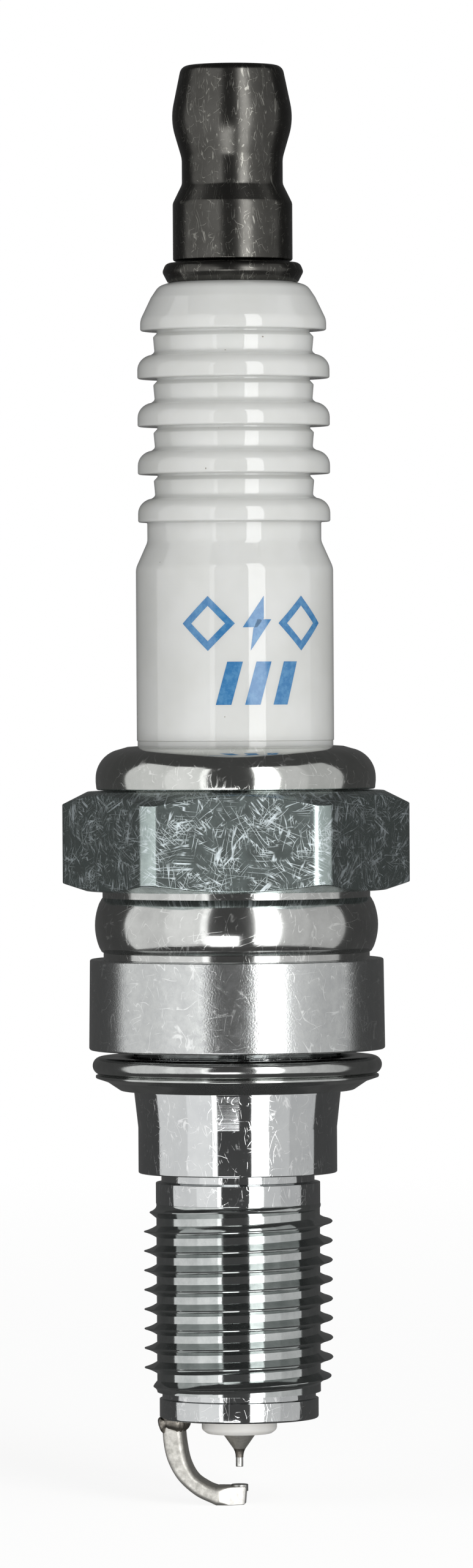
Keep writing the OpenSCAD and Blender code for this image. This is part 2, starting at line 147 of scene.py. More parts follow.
def ramp(tree, value, low, high, fromMin, fromMax):
    # Straight change from low to high as value goes from fromMin to fromMax
    limits = {"From Min": fromMin, "From Max": fromMax, "To Min": low, "To Max": high}
    return addNode(tree, "ShaderNodeMapRange", {"Value": value, **limits}).outputs["Result"]


def mixColour(tree, factor, first, second):
    mix = addNode(tree, "ShaderNodeMix", {"Factor": factor}, data_type="RGBA")
    for index, value in ((6, first), (7, second)):
        if isinstance(value, bpy.types.NodeSocket):
            tree.links.new(value, mix.inputs[index])
        else:
            mix.inputs[index].default_value = value
    return mix.outputs[2]


def combine(tree, how, first, second):
    return addNode(tree, "ShaderNodeMath", {0: first, 1: second}, operation=how).outputs["Value"]


def unrolled(tree, where, radius):
    # The surface laid flat: distance around the axis, then height; radius in millimetres sets the first
    apart = addNode(tree, "ShaderNodeSeparateXYZ", {"Vector": where}).outputs
    behind = combine(tree, "MULTIPLY", apart["Y"], -1.0)
    angle = combine(tree, "ARCTAN2", apart["X"], behind)
    around = combine(tree, "MULTIPLY", angle, radius)
    return addNode(tree, "ShaderNodeCombineXYZ", {"X": around, "Z": apart["Z"]}).outputs["Vector"]


def scratches(tree, where, spec):
    # Fine scratches: thin level lines of a noise drawn out along several directions of the laid-out surface
    flat = unrolled(tree, where, spec.get("radius", 7.0))
    total = None
    for index in range(spec["families"]):
        turn = (0, math.radians(12 + 180 / spec["families"] * index + 9 * (index % 3)), 0)
        drawn = noiseIn(tree, flat, spec["spacing"], (1, 1, spec["length"] / spec["spacing"]), turn, 1.0)
        away = addNode(tree, "ShaderNodeMath", {0: drawn, 1: 0.5}, operation="SUBTRACT").outputs["Value"]
        away = addNode(tree, "ShaderNodeMath", {0: away}, operation="ABSOLUTE").outputs["Value"]
        line = ramp(tree, away, 1.0, 0.0, 0.0, spec["share"])
        broken = ramp(tree, noiseIn(tree, flat, spec["length"] * 0.4, turn=turn), 0.0, 1.0, 0.5, 0.58)
        line = combine(tree, "MULTIPLY", line, broken)
        total = line if total is None else combine(tree, "MAXIMUM", total, line)
    return total


def bump(tree, height, depth, below=None):
    # depth is the real height of the pattern in millimetres
    inputs = {"Height": height, "Distance": depth * mm, "Strength": 1.0}
    if below is not None:
        inputs["Normal"] = below
    return addNode(tree, "ShaderNodeBump", inputs).outputs["Normal"]


def metal(name, spec):
    # One recipe for every bare or plated metal; the spec says how its surface was made
    material, tree, shader, where = newMaterial(name)
    shader.inputs["Metallic"].default_value = spec.get("metallic", 1.0)
    patches = noiseIn(tree, where, spec["patchSize"], detail=5.0, rough=0.65)
    patches = ramp(tree, patches, 0.0, 1.0, 0.35, 0.65)
    colour = mixColour(tree, patches, hexColour(spec["colour"]), hexColour(spec["patchColour"]))
    roughness = ramp(tree, patches, spec["roughness"], spec["patchRoughness"], 0.0, 1.0)
    normal = None
    if "turned" in spec:
        # lathe or roll marks: rings around the axis, spaced by the tool's feed
        rings = noiseIn(tree, where, spec["turned"]["feed"], (60, 60, 1), detail=2.0)
        normal = bump(tree, rings, spec["turned"]["depth"])
    if "grain" in spec:
        grain = noiseIn(tree, where, spec["grain"]["size"], detail=2.0)
        normal = bump(tree, grain, spec["grain"]["depth"], normal)
    if "scratch" in spec:
        lines = scratches(tree, where, spec["scratch"])
        colour = mixColour(tree, lines, colour, hexColour(spec["scratch"]["colour"]))
        rougher = combine(tree, "MULTIPLY", lines, spec["scratch"]["rougher"])
        roughness = combine(tree, "ADD", roughness, rougher)
        normal = bump(tree, combine(tree, "SUBTRACT", 1.0, lines), spec["scratch"]["depth"], normal)
    tree.links.new(colour, shader.inputs["Base Color"])
    tree.links.new(roughness, shader.inputs["Roughness"])
    if normal is not None:
        tree.links.new(normal, shader.inputs["Normal"])
    return material


# Black oxide on turned steel: a thin dark film, so soft grey highlights with bare scuffs on the edges
blackOxideSpec = {
    "colour": "#545350", "patchColour": "#4A4946",
    "patchSize": 1.6, "roughness": 0.24, "patchRoughness": 0.28,
    "turned": {"feed": 0.09, "depth": 0.0008},
    "grain": {"size": 0.1, "depth": 0.0008},
    "scratch": {"families": 3, "spacing": 0.7, "length": 2.2, "share": 0.011, "colour": "#8E8D87",
                "rougher": 0.05, "depth": 0.0008},
}
# Bright zinc over a hot-crimped roll: mirror-like, with faint rings and a little tarnish
crimpedZincSpec = {
    "colour": "#C9CAC7", "patchColour": "#B9BBB7",
    "patchSize": 2.2, "roughness": 0.07, "patchRoughness": 0.13,
    "turned": {"feed": 0.11, "depth": 0.0008},
    "scratch": {"families": 3, "spacing": 0.7, "length": 2.2, "share": 0.011, "colour": "#E4E5E2",
                "rougher": 0.15, "depth": 0.0008},
}
# Bright zinc on cold-drawn hexagon bar: mottled, cool-tinted and covered with handling scratches
drawnZincSpec = {
    "colour": "#B0BCB9", "patchColour": "#9AA6A4", "patchSize": 0.8, "roughness": 0.2, "patchRoughness": 0.27,
    "scratch": {"families": 10, "spacing": 0.3, "length": 3.0, "share": 0.018, "colour": "#E8F2F6",
                "rougher": 0.2, "depth": 0.001},
}
# Bright zinc on a turned bulge: fine tool rings that spread the highlight along the axis
turnedZincSpec = {
    "colour": "#C6C7C5", "patchColour": "#B6B7B5",
    "patchSize": 1.5, "roughness": 0.09, "patchRoughness": 0.15,
    "turned": {"feed": 0.07, "depth": 0.0016},
    "scratch": {"families": 3, "spacing": 0.7, "length": 2.2, "share": 0.011, "colour": "#E0E1DF",
                "rougher": 0.15, "depth": 0.0008},
}
# Bright zinc over a tumbled collar: satin orange peel, no tool marks
tumbledZincSpec = {
    "colour": "#C8CAC9", "patchColour": "#BBBDBD",
    "patchSize": 0.5, "roughness": 0.19, "patchRoughness": 0.24,
    "grain": {"size": 0.09, "depth": 0.006},
    "scratch": {"families": 3, "spacing": 0.7, "length": 2.2, "share": 0.011, "colour": "#E4E6E5",
                "rougher": 0.05, "depth": 0.001},
}
# Bright zinc on the fine-turned neck and pilot: smooth, with small handling marks
neckZincSpec = {
    "colour": "#CDCFCF", "patchColour": "#C3C5C6",
    "patchSize": 1.8, "roughness": 0.05, "patchRoughness": 0.08,
    "turned": {"feed": 0.06, "depth": 0.0004},
    "scratch": {"families": 3, "spacing": 0.7, "length": 2.2, "share": 0.011, "colour": "#EBECEC",
                "rougher": 0.15, "depth": 0.0012},
}
# Bright zinc on a rolled thread: burnished flanks with a soft grey band
rolledZincSpec = {
    "colour": "#C8CBCA", "patchColour": "#B4B8B7",
    "patchSize": 1.0, "roughness": 0.06, "patchRoughness": 0.11,
    "grain": {"size": 0.08, "depth": 0.0004},
}
# Plated sheet steel, folded in a press: smooth and bright, slightly rippled
sheetSteelSpec = {
    "colour": "#C8CAC8", "patchColour": "#B2B4B2", "patchSize": 1.2, "roughness": 0.1, "patchRoughness": 0.17,
    "grain": {"size": 0.25, "depth": 0.0016},
}
# Drawn nickel alloy strip: satin, with faint lengthwise lines
nickelSpec = {
    "colour": "#DBD9D3", "patchColour": "#B5B3AD",
    "patchSize": 0.3, "roughness": 0.46, "patchRoughness": 0.56,
    "grain": {"size": 0.08, "depth": 0.005},
}
# The same alloy where it was sheared: fresh and bright, with fine tear lines
cutNickelSpec = {
    "colour": "#F1F0EC", "patchColour": "#DAD8D3",
    "patchSize": 0.2, "roughness": 0.42, "patchRoughness": 0.52,
    "grain": {"size": 0.05, "depth": 0.003},
}
# Resistance-weld flash: melted and re-frozen alloy, dull and slightly oxidised
weldSpec = {
    "colour": "#8F8A82", "patchColour": "#5F5B56", "patchSize": 0.35, "roughness": 0.3, "patchRoughness": 0.5,
    "grain": {"size": 0.12, "depth": 0.006},
}
# Ground noble metal: pale grey and fine satin
nobleSpec = {
    "colour": "#C9C9C6", "patchColour": "#B5B5B2",
    "patchSize": 0.2, "roughness": 0.28, "patchRoughness": 0.38,
    "grain": {"size": 0.04, "depth": 0.0006},
}
# Drawn copper, hidden in the centre electrode
copperSpec = {
    "colour": "#DA8A67", "patchColour": "#C9744F", "patchSize": 0.5, "roughness": 0.3, "patchRoughness": 0.4,
}


def glazedAlumina(name, spec):
    # Clear glaze over white-fired alumina: a hard gloss over a faintly cloudy body
    material, tree, shader, where = newMaterial(name)
    cloud = ramp(tree, noiseIn(tree, where, spec["cloudSize"], detail=3.0), 0.0, 1.0, 0.35, 0.65)
    colour = mixColour(tree, cloud, hexColour(spec["colour"]), hexColour(spec["cloudColour"]))
    specks = noiseIn(tree, where, spec["speckSize"], detail=0.0)
    specks = ramp(tree, specks, 0.0, 1.0, spec["speckLevel"], spec["speckLevel"] + 0.02)
    colour = mixColour(tree, specks, colour, hexColour(spec["speckColour"]))
    tree.links.new(colour, shader.inputs["Base Color"])
    shader.inputs["Roughness"].default_value = spec["roughness"]
    shader.inputs["IOR"].default_value = spec["ior"]
    shader.inputs["Subsurface Weight"].default_value = spec["scatter"]
    shader.inputs["Subsurface Radius"].default_value = (1.0, 0.95, 0.85)
    shader.inputs["Subsurface Scale"].default_value = spec["scatterDepth"] * mm
    rings = noiseIn(tree, where, spec["ringSize"], (30, 30, 1), detail=1.0)
    normal = bump(tree, rings, spec["ringDepth"])
    waves = noiseIn(tree, where, spec["waveSize"], detail=1.0)
    normal = bump(tree, waves, spec["waveDepth"], normal)
    tree.links.new(normal, shader.inputs["Normal"])
    return material


glazeSpec = {
    "colour": "#D6D7D5", "cloudColour": "#CFD0CD", "cloudSize": 4.0,
    "speckColour": "#8B857B", "speckSize": 0.22, "speckLevel": 0.9, "roughness": 0.045, "ior": 1.52, "scatter": 0.25, "scatterDepth": 0.8,
    "ringSize": 0.35, "ringDepth": 0.0014, "waveSize": 1.4, "waveDepth": 0.005,
}
# The nose is left unglazed: matt white with a fine pressed grain
bareAluminaSpec = dict(
    glazeSpec, roughness=0.5, waveSize=0.08, waveDepth=0.003, colour="#F6F5F1", cloudColour="#EDEBE6")


def printedEnamel(name, spec):
    # Screen-printed ceramic ink under the glaze: flat blue, a little uneven where the ink ran thin
    material, tree, shader, where = newMaterial(name)
    thin = ramp(tree, noiseIn(tree, where, spec["blotch"], detail=5.0, rough=0.7), 0.0, 1.0, 0.42, 0.62)
    colour = mixColour(tree, thin, hexColour(spec["colour"]), hexColour(spec["thinColour"]))
    tree.links.new(colour, shader.inputs["Base Color"])
    shader.inputs["Roughness"].default_value = spec["roughness"]
    shader.inputs["IOR"].default_value = spec["ior"]
    waves = noiseIn(tree, where, spec["grainSize"], detail=2.0)
    tree.links.new(bump(tree, waves, spec["grainDepth"]), shader.inputs["Normal"])
    return material


inkSpec = {
    "colour": "#3A74A6", "thinColour": "#5388B3", "blotch": 0.35, "roughness": 0.12, "ior": 1.52,
    "grainSize": 0.3, "grainDepth": 0.002,
}


def firedPowder(name, spec):
    # Pressed or fired powder: matt, with a fine speckle
    material, tree, shader, where = newMaterial(name)
    speck = noiseIn(tree, where, spec["grain"], detail=4.0, rough=0.7)
    colour = mixColour(tree, speck, hexColour(spec["colour"]), hexColour(spec["speckColour"]))
    tree.links.new(colour, shader.inputs["Base Color"])
    shader.inputs["Roughness"].default_value = spec["roughness"]
    tree.links.new(bump(tree, speck, spec["depth"]), shader.inputs["Normal"])
    return material


sealGlassSpec = {
    "colour": "#3A302A", "speckColour": "#8A5A3C", "grain": 0.12, "roughness": 0.45, "depth": 0.004}
resistorSpec = {"colour": "#3B3833", "speckColour": "#5E584F", "grain": 0.1, "roughness": 0.6, "depth": 0.004}
talcSpec = {"colour": "#E4E0D5", "speckColour": "#CFCABD", "grain": 0.08, "roughness": 0.85, "depth": 0.006}

blackOxideSteel = metal("blackOxideSteel", blackOxideSpec)
crimpedZinc = metal("crimpedZinc", crimpedZincSpec)
drawnZinc = metal("drawnZinc", drawnZincSpec)
turnedZinc = metal("turnedZinc", turnedZincSpec)
tumbledZinc = metal("tumbledZinc", tumbledZincSpec)
neckZinc = metal("neckZinc", neckZincSpec)
rolledZinc = metal("rolledZinc", rolledZincSpec)
sheetSteel = metal("sheetSteel", sheetSteelSpec)
satinNickel = metal("satinNickel", nickelSpec)
cutNickel = metal("cutNickel", cutNickelSpec)
weldedNickel = metal("weldedNickel", weldSpec)
groundNobleMetal = metal("groundNobleMetal", nobleSpec)
drawnCopper = metal("drawnCopper", copperSpec)
glaze = glazedAlumina("glazedAlumina", glazeSpec)
bareAlumina = glazedAlumina("bareAlumina", bareAluminaSpec)
blueInk = printedEnamel("blueInk", inkSpec)
sealGlass = firedPowder("sealGlass", sealGlassSpec)
firedResistor = firedPowder("firedResistor", resistorSpec)
pressedTalc = firedPowder("pressedTalc", talcSpec)
print("materials made")


# Outlines and lathe work

def roundCorners(points, closed=False, steps=5):
    # Each point is (radius, height) or (radius, height, fillet)
    rounded = []
    count = len(points)
    for index, point in enumerate(points):
        here = Vector(point[:2])
        fillet = point[2] if len(point) > 2 else 0.0
        isEnd = not closed and index in (0, count - 1)
        if not fillet or isEnd:
            rounded.append((here.x, here.y))
            continue
        back = Vector(points[index - 1][:2]) - here
        ahead = Vector(points[(index + 1) % count][:2]) - here
        half = back.angle(ahead) / 2
        if half > math.radians(89.5):
            rounded.extend([(here.x, here.y)] * (steps + 1))
            continue
        cut = min(fillet / math.tan(half), 0.48 * back.length, 0.48 * ahead.length)
        radius = cut * math.tan(half)
        centre = here + (back.normalized() + ahead.normalized()).normalized() * (radius / math.sin(half))
        start = here + back.normalized() * cut - centre
        end = here + ahead.normalized() * cut - centre
        sweep = start.angle_signed(end)
        for step in range(steps + 1):
            turn = -sweep * step / steps
            spun = Vector((start.x * math.cos(turn) - start.y * math.sin(turn),
                           start.x * math.sin(turn) + start.y * math.cos(turn)))
            rounded.append(tuple(centre + spun))
    return rounded


def finishMesh(obj, materials, sharpDegrees=33):
    for material in materials:
        obj.data.materials.append(material)
    obj.data.polygons.foreach_set("use_smooth", [True] * len(obj.data.polygons))
    obj.data.set_sharp_from_angle(angle=math.radians(sharpDegrees))
    weighted = obj.modifiers.new("weighted", "WEIGHTED_NORMAL")
    weighted.keep_sharp = True


def meshPiece(name, verts, faces):
    mesh = bpy.data.meshes.new(name)
    mesh.from_pydata(verts, [], faces)
    mesh.validate()
    work = bmesh.new()
    work.from_mesh(mesh)
    bmesh.ops.remove_doubles(work, verts=work.verts, dist=0.0004 * mm)
    bmesh.ops.recalc_face_normals(work, faces=work.faces)
    work.to_mesh(mesh)
    work.free()
    obj = bpy.data.objects.new(name, mesh)
    bpy.context.scene.collection.objects.link(obj)
    return obj


def lathe(name, outlineAt, columns, materials, closed=True):
    # outlineAt gives the section at an angle; a closed section makes a ring, an open one ends on the axis
    verts = []
    for column in range(columns):
        angle = 2 * math.pi * column / columns
        section = outlineAt(angle)
        verts.extend((r * mm * math.cos(angle), r * mm * math.sin(angle), seat + z * mm) for r, z in section)
    rows = len(section)
    faces = []
    for column in range(columns):
        this, following = column * rows, (column + 1) % columns * rows
        for row in range(rows if closed else rows - 1):
            above = (row + 1) % rows
            faces.append((this + row, following + row, following + above, this + above))
    obj = meshPiece(name, verts, faces)
    finishMesh(obj, materials)
    return obj


def threadRise(thread, share, z):
    # How far the thread stands out of its root, at a share of the pitch away from the crest
    away = abs(share - round(share)) * thread["pitch"]
    halfBase = (thread["pitch"] - thread["rootFlat"]) / 2
    flank = min(1.0, max(0.0, (halfBase - away) / (halfBase - thread["halfCrest"])))
    fade = min(1.0, max(0.0, min(z - thread["low"], thread["high"] - z) / (thread["fade"] * thread["pitch"])))
    return thread["depth"] * fade * (0.7 * flank + 0.3 * flank ** 3)


def threadSleeve(name, thread, material):
    # A right-hand helical sleeve: each column climbs with the turn, and its last row is the next turn's first
    columns, rows, pitch = thread["columns"], thread["rows"], thread["pitch"]
    start = pitch * (math.floor(thread["low"] / pitch) + thread["phase"] - 2)
    count = columns * (math.ceil((thread["high"] - thread["low"]) / pitch) + 4)
    work = bmesh.new()
    grid, wall = [], []
    for column in range(count + columns + 1):
        angle = 2 * math.pi * column / columns
        foot = start + pitch * column / columns
        cosine, sine = math.cos(angle), math.sin(angle)
        line = []
        for row in range(rows):
            z = foot + pitch * row / rows
            radius = thread["root"] + threadRise(thread, row / rows, z)
            line.append(work.verts.new((radius * mm * cosine, radius * mm * sine, seat + z * mm)))
        grid.append(line)
        inner = thread["inner"] * mm
        wall.append(work.verts.new((inner * cosine, inner * sine, seat + foot * mm)))

    def at(column, row):
        return grid[column + columns][0] if row == rows else grid[column][row]

    for column in range(count):
        for row in range(rows):
            corners = ((column, row), (column + 1, row), (column + 1, row + 1), (column, row + 1))
            work.faces.new([at(*corner) for corner in corners])
        work.faces.new((wall[column], wall[column + columns], wall[column + columns + 1], wall[column + 1]))
    for column in range(columns):
        work.faces.new((at(column, 0), wall[column], wall[column + 1], at(column + 1, 0)))
        above = column + count
        work.faces.new((at(above, 0), at(above + 1, 0), wall[above + 1], wall[above]))
    work.faces.new([wall[columns]] + [at(0, row) for row in range(rows, -1, -1)] + [wall[0]])
    work.faces.new([wall[count]] + [at(count, row) for row in range(rows + 1)] + [wall[count + columns]])
    for height, side in ((thread["low"], -1), (thread["high"], 1)):
        geometry = work.verts[:] + work.edges[:] + work.faces[:]
        split = bmesh.ops.bisect_plane(
            work, geom=geometry, plane_co=(0, 0, seat + height * mm), plane_no=(0, 0, side),
            clear_outer=True, dist=1e-8)
        edges = [part for part in split["geom_cut"] if isinstance(part, bmesh.types.BMEdge)]
        bmesh.ops.triangle_fill(work, edges=edges, use_beauty=True)
    bmesh.ops.recalc_face_normals(work, faces=work.faces)
    mesh = bpy.data.meshes.new(name)
    work.to_mesh(mesh)
    work.free()
    sleeve = bpy.data.objects.new(name, mesh)
    bpy.context.scene.collection.objects.link(sleeve)
    finishMesh(sleeve, [material], 16)
    return sleeve


# Terminal nut: skirt, waist and rounded head over a blind bore
nutSpec = {"low": 40.55, "height": 10.05, "skirt": 3.08, "waist": 2.6, "bore": 2.02, "boreDepth": 8.1}


def makeTerminalNut(spec):
    low, top = spec["low"], spec["low"] + spec["height"]
    section = roundCorners([
        (0.0, low + spec["boreDepth"] + 0.9),
        (spec["bore"], low + spec["boreDepth"], 0.05),
        (spec["bore"], low + 0.3, 0.05),
        (spec["bore"] + 0.25, low, 0.05),
        (spec["skirt"], low, 0.12),
        (spec["skirt"], low + 2.97, 0.45),
        (spec["waist"], low + 3.95, 0.55),
        (spec["waist"], low + 5.28, 1.5),
        (spec["skirt"] + 0.1, low + 7.27, 3.3),
        (2.605, top, 0.45),
        (0.0, top),
    ], steps=8)
    nut = lathe("terminal_nut_turned", lambda angle: section, 160, [blackOxideSteel], closed=False)
    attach(nut, "nut")
    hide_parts("terminal_nut")
    return nut


# Terminal stud: threaded post, flange and stem
studSpec = {
    "flange": 3.64, "flangeLow": 39.47, "flangeHigh": 40.46, "post": 7.6, "core": 1.43,
    "stem": 1.3, "stemEnd": 18.0,
    "thread": {"pitch": 0.7, "depth": 0.42, "halfCrest": 0.05, "rootFlat": 0.15, "phase": 0.3, "fade": 0.5,
               "low": 40.96, "high": 47.71, "root": 1.55, "inner": 1.3, "columns": 96, "rows": 12},
}


def makeTerminalStud(spec):
    low, high = spec["flangeLow"], spec["flangeHigh"]
    postTop = high + spec["post"]
    knurl = [(spec["stem"] - (0.15 if i % 3 == 0 else 0.0), spec["stemEnd"] + 0.2 + 0.25 * i)
             for i in range(24)]
    foot = [(0.0, spec["stemEnd"]), (spec["stem"] - 0.25, spec["stemEnd"])] + knurl
    flange = roundCorners([
        (spec["stem"], low - 0.4), (spec["stem"], low), (3.37, low, 0.04),
        (spec["flange"], low + 0.52, 0.25), (3.45, high, 0.32), (spec["core"], high, 0.12),
        (spec["core"], high + 0.4),
    ])
    tip = [(spec["core"], postTop - 0.2), (spec["core"] - 0.2, postTop), (0.0, postTop)]
    section = foot + flange + tip
    stud = lathe("terminal_stud_turned", lambda angle: section, 120, [blackOxideSteel], closed=False)
    thread = threadSleeve("terminal_stud_thread", spec["thread"], blackOxideSteel)
    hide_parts("terminal_stud")
    for piece in (stud, thread):
        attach(piece, "plug")
    return stud


makeTerminalNut(nutSpec)
makeTerminalStud(studSpec)
print("terminal made")

# Insulator: five ribs over a plain barrel, packing shoulders inside the shell, and a long nose
insulatorSpec = {
    "top": 39.47, "barrel": 5.08, "seated": 5.04, "barrelFoot": 15.92,
    "ribs": 5, "ribPitch": 2.46, "firstRib": 36.97, "rib": 4.95, "firstRibRadius": 4.79, "groove": 4.06,
    "ribHeight": 1.24, "ribEdge": 0.46, "neck": 4.48, "shoulder": 6.02, "stem": 3.28,
    "nose": 1.94, "noseTop": 2.66, "noseTip": -19.8, "bore": 1.55, "lowBore": 0.98, "headHeight": 1.5,
}


def ribSection(spec, index):
    # From the shoulder of a rib down to its flat underside and the fillet below
    under = spec["firstRib"] - index * spec["ribPitch"]
    if index == 0:
        outer = spec["firstRibRadius"]
        crown = [(3.2, spec["top"], 0.05), (outer - 0.95, spec["top"] - 0.2, 0.7),
                 (outer - 0.55, under + 1.7, 0.9), (outer, under + 0.55, 0.9)]
    else:
        outer = spec["rib"]
        wide, rise = outer - spec["groove"] - 0.04, spec["ribHeight"] - spec["ribEdge"]
        crown = [(spec["groove"], under + spec["ribHeight"] + 0.12, 0.2)]
        crown += [(spec["groove"] + 0.04 + wide * math.cos(math.radians(a)),
                   under + spec["ribEdge"] + rise * math.sin(math.radians(a))) for a in range(80, -1, -10)]
    return crown + [
        (outer, under, 0.1),
        (spec["groove"] - 0.12, under, 0.08),
        (spec["groove"] - 0.12, under - 0.12, 0.06),
        (spec["groove"] + 0.07, under - 0.32, 0.1),
    ]


def makeInsulator(spec):
    points = [(spec["bore"], spec["top"], 0.05)]
    for index in range(spec["ribs"]):
        points += ribSection(spec, index)
    lastRib = spec["firstRib"] - (spec["ribs"] - 1) * spec["ribPitch"]
    points = points[:-3] + [
        (spec["neck"], lastRib, 0.1),
        (spec["neck"], lastRib - 1.0, 0.7),
        (spec["barrel"], lastRib - 2.35, 0.9),
        (spec["barrel"], spec["barrelFoot"]),
        (spec["seated"], spec["barrelFoot"] - 0.04),
        (spec["seated"], 9.4, 0.05),
        (spec["shoulder"], 9.4, 0.2),
        (spec["shoulder"], 3.45, 0.3),
        (spec["stem"], 1.5, 0.3),
        (spec["stem"], -11.5, 0.05),
        (spec["noseTop"], -11.86, 0.1),
        (spec["noseTop"], -12.9, 0.4),
        (spec["nose"], -18.6, 1.0),
        (spec["nose"], spec["noseTip"] + 0.2, 0.25),
        (spec["nose"] - 0.28, spec["noseTip"], 0.15),
        (spec["lowBore"], spec["noseTip"], 0.05),
        (spec["lowBore"], spec["headHeight"]),
        (spec["bore"], spec["headHeight"]),
    ]
    section = roundCorners(points, closed=True)
    insulator = lathe("insulator_glazed", lambda angle: section, 224, [glaze, bareAlumina])
    noseStart = seat - 11.5 * mm
    for face in insulator.data.polygons:
        face.material_index = 1 if face.center.z < noseStart else 0
    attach(insulator, "plug")
    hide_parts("insulator")
    return insulator


makeInsulator(insulatorSpec)
print("insulator made")

# Generic print on the barrel: a spark between two hollow diamonds, over three slanted bars
printSpec = {"radius": 5.08, "thickness": 0.012, "turn": 13.0, "line": 0.5, "topRow": 21.9, "lowRow": 18.85}


def diamond(x, z, half, line):
    # A hollow diamond as four strips
    outer = [(x, z + half), (x + half, z), (x, z - half), (x - half, z)]
    inner = [(x, z + half - line), (x + half - line, z), (x, z - half + line), (x - half + line, z)]
    return [[outer[i], outer[(i + 1) % 4], inner[(i + 1) % 4], inner[i]] for i in range(4)]


def makePrint(spec):
    top, low, line = spec["topRow"], spec["lowRow"], spec["line"]
    shapes = diamond(-2.55, top, 1.4, line) + diamond(2.55, top, 1.4, line)
    shapes += [
        [(0.35, top + 1.4), (-0.75, top - 0.2), (0.0, top - 0.2), (0.35, top + 0.25)],
        [(0.0, top + 0.2), (0.75, top + 0.2), (-0.35, top - 1.4), (-0.2, top - 0.25)],
    ]
    for x in (-1.5, 0.0, 1.5):
        above, below = low + 1.1, low - 1.1
        shapes.append([(x - 0.05, above), (x + 0.75, above), (x + 0.15, below), (x - 0.65, below)])
    work = bmesh.new()
    for shape in shapes:
        work.faces.new([work.verts.new((x, z, 0.0)) for x, z in shape])
    for cut in range(-20, 21):
        # narrow strips, so that the print follows the barrel
        geometry = work.verts[:] + work.edges[:] + work.faces[:]
        bmesh.ops.bisect_plane(
            work, geom=geometry, plane_co=(cut * 0.22, 0, 0), plane_no=(1, 0, 0), dist=1e-5)
    extruded = bmesh.ops.extrude_face_region(work, geom=work.faces[:])
    for vert in extruded["geom"]:
        if isinstance(vert, bmesh.types.BMVert):
            vert.co.z = spec["thickness"]
    for vert in work.verts:
        across, height, lift = vert.co
        angle = math.radians(spec["turn"]) + across / spec["radius"]
        radius = spec["radius"] + lift - 0.004
        vert.co = (radius * mm * math.sin(angle), -radius * mm * math.cos(angle), seat + height * mm)
    bmesh.ops.recalc_face_normals(work, faces=work.faces)
    mesh = bpy.data.meshes.new("printed_mark")
    work.to_mesh(mesh)
    work.free()
    mark = bpy.data.objects.new("printed_mark", mesh)
    bpy.context.scene.collection.objects.link(mark)
    finishMesh(mark, [blueInk])
    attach(mark, "plug")
    return mark


makePrint(printSpec)
print("print made")

# Metal shell: one turned and rolled piece, from the crimp to the end face
shellSpec = {
    "lipBore": 5.12, "lipLow": 14.77, "crimpTop": 15.62, "crimp": 7.22, "crimpLow": 13.38, "crimpNeck": 6.5,
    "hexTop": 13.3, "hexLow": 8.2, "acrossFlats": 15.9, "acrossCorners": 17.9, "chamferStart": 7.65,
    "upperBore": 6.08, "lowerBore": 3.35, "noseBore": 2.95, "collar": 7.63, "collarTop": 4.67,
    "neck": 5.125, "neckRoot": 5.325, "core": 4.1, "pilot": 4.1, "relief": 3.95,
    "thread": {"pitch": 1.0, "depth": 0.65, "halfCrest": 0.025, "rootFlat": 0.38, "phase": 0.12, "fade": 0.9,
               "low": -17.64, "high": -7.9, "root": 4.22, "inner": 3.8, "columns": 180, "rows": 32},
}


def hexRadius(spec, angle):
    # Distance to the hexagon at an angle, with a flat facing -Y and the corners turned round
    fromFlat = (angle + math.pi / 2 + math.pi / 6) % (math.pi / 3) - math.pi / 6
    flat = spec["acrossFlats"] / 2 / math.cos(fromFlat)
    corner = spec["acrossCorners"] / 2
    blend = 0.05
    return (flat + corner - math.sqrt((flat - corner) ** 2 + blend ** 2)) / 2


